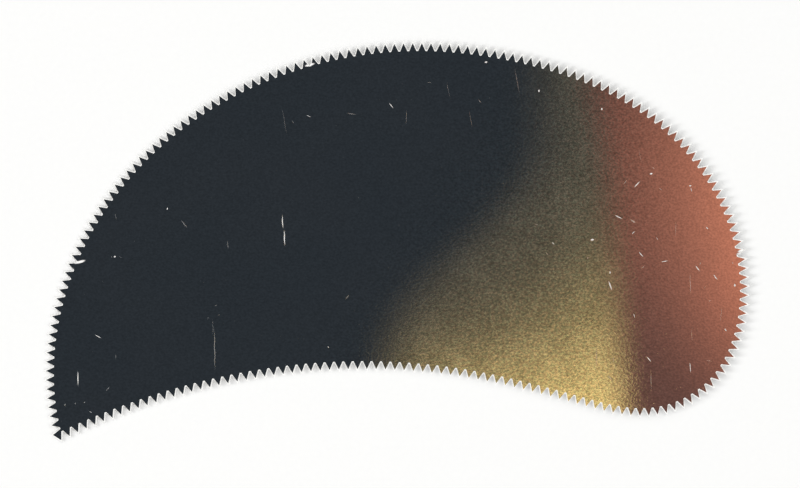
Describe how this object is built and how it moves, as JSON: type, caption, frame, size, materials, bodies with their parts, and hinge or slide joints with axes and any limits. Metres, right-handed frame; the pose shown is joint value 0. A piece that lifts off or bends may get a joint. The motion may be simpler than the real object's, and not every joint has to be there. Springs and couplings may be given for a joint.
{
  "type": "pottery rib",
  "caption": "Serrated steel pottery rib: a thin kidney-like plate with V teeth all round, for scraping and scoring clay.",
  "frame": {"origin": "middle of the box round the plate, on the face that it rests on", "axes": "+X along the plate's length towards its nose, +Y across it towards the crown, +Z out of the upper face"},
  "size_m": [0.1213, 0.0688, 0.0005],
  "materials": {
    "stainless_sheet": "bright rolled stainless sheet with fine grain, light scratches and bevelled edges"
  },
  "bodies": {
    "root": {"blade": "stainless_sheet"}
  },
  "joints": []
}
